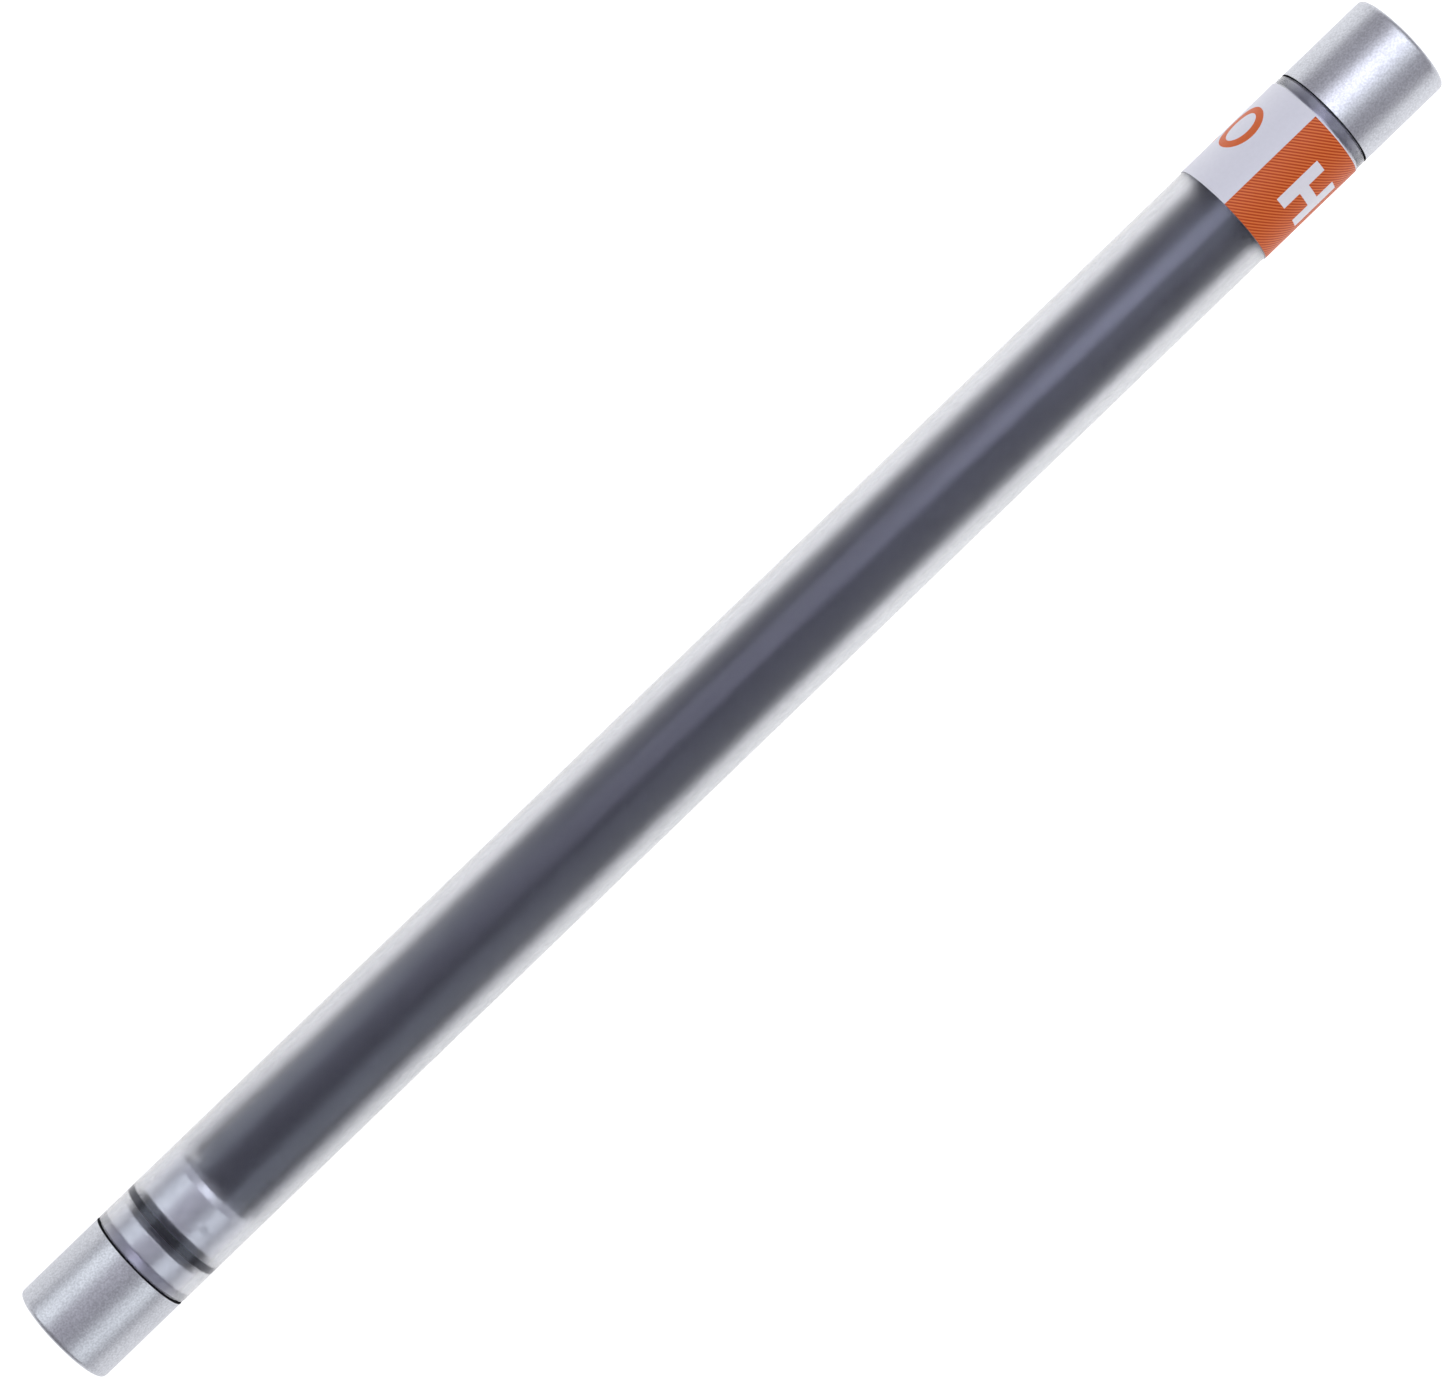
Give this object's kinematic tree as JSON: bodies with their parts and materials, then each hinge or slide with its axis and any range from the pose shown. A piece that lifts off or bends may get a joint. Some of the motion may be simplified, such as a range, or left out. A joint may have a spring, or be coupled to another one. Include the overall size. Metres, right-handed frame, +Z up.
{
  "type": "drafting lead tube",
  "caption": "Lead holder: a clear tube for drafting leads, closed at each end by a push-in metal cap with an O-ring, with a label round one end.",
  "frame": {"origin": "on the surface the tube lies on, under the middle of the tube", "axes": "+X along the tube, from the plain rear end to the labelled front end; +Z up; the tube lies on its side"},
  "size_m": [0.1568, 0.0102, 0.0102],
  "materials": {
    "clear_plastic": "clear, glossy outside and finely frosted inside",
    "satin_metal": "satin, fine turned",
    "seal_rubber": "smooth black",
    "label_film": "pale coated film with orange print",
    "graphite": "smooth dark grey with a dull shine"
  },
  "bodies": {
    "tube": {"tube": "clear_plastic", "label": "label_film"},
    "front_seal": {"front_seal_ring": "seal_rubber"},
    "front_cap": {"front_cap": "satin_metal"},
    "rear_seal": {"rear_seal_ring": "seal_rubber"},
    "rear_cap": {"rear_cap": "satin_metal"},
    "lead_01": {"lead_01": "graphite"},
    "lead_02": {"lead_02": "graphite"},
    "lead_03": {"lead_03": "graphite"},
    "lead_04": {"lead_04": "graphite"},
    "lead_05": {"lead_05": "graphite"},
    "lead_06": {"lead_06": "graphite"},
    "lead_07": {"lead_07": "graphite"}
  },
  "joints": [
    {"name": "front_cap_pull", "type": "slide", "parent": "tube", "child": "front_seal", "axis": [1, 0, 0], "range_m": [0, 0.02]},
    {"name": "front_cap_twist", "type": "hinge", "parent": "front_seal", "child": "front_cap", "pos_m": [0.0655, 0, 0.00508], "axis": [1, 0, 0], "continuous": true},
    {"name": "rear_cap_pull", "type": "slide", "parent": "tube", "child": "rear_seal", "axis": [-1, 0, 0], "range_m": [0, 0.02]},
    {"name": "rear_cap_twist", "type": "hinge", "parent": "rear_seal", "child": "rear_cap", "pos_m": [-0.0655, 0, 0.00508], "axis": [-1, 0, 0], "continuous": true},
    {"name": "lead_01_slide", "type": "slide", "parent": "tube", "child": "lead_01", "axis": [1, 0, 0], "range_m": [-0.00008, 0.00038]},
    {"name": "lead_02_slide", "type": "slide", "parent": "tube", "child": "lead_02", "axis": [1, 0, 0], "range_m": [-0.00012, 0.00034]},
    {"name": "lead_03_slide", "type": "slide", "parent": "tube", "child": "lead_03", "axis": [1, 0, 0], "range_m": [-0.00004, 0.00042]},
    {"name": "lead_04_slide", "type": "slide", "parent": "tube", "child": "lead_04", "axis": [1, 0, 0], "range_m": [-0.0004, 0.00006]},
    {"name": "lead_05_slide", "type": "slide", "parent": "tube", "child": "lead_05", "axis": [1, 0, 0], "range_m": [-0.00012, 0.00034]},
    {"name": "lead_06_slide", "type": "slide", "parent": "tube", "child": "lead_06", "axis": [1, 0, 0], "range_m": [-0.00004, 0.00042]},
    {"name": "lead_07_slide", "type": "slide", "parent": "tube", "child": "lead_07", "axis": [1, 0, 0], "range_m": [-0.00008, 0.00038]}
  ]
}
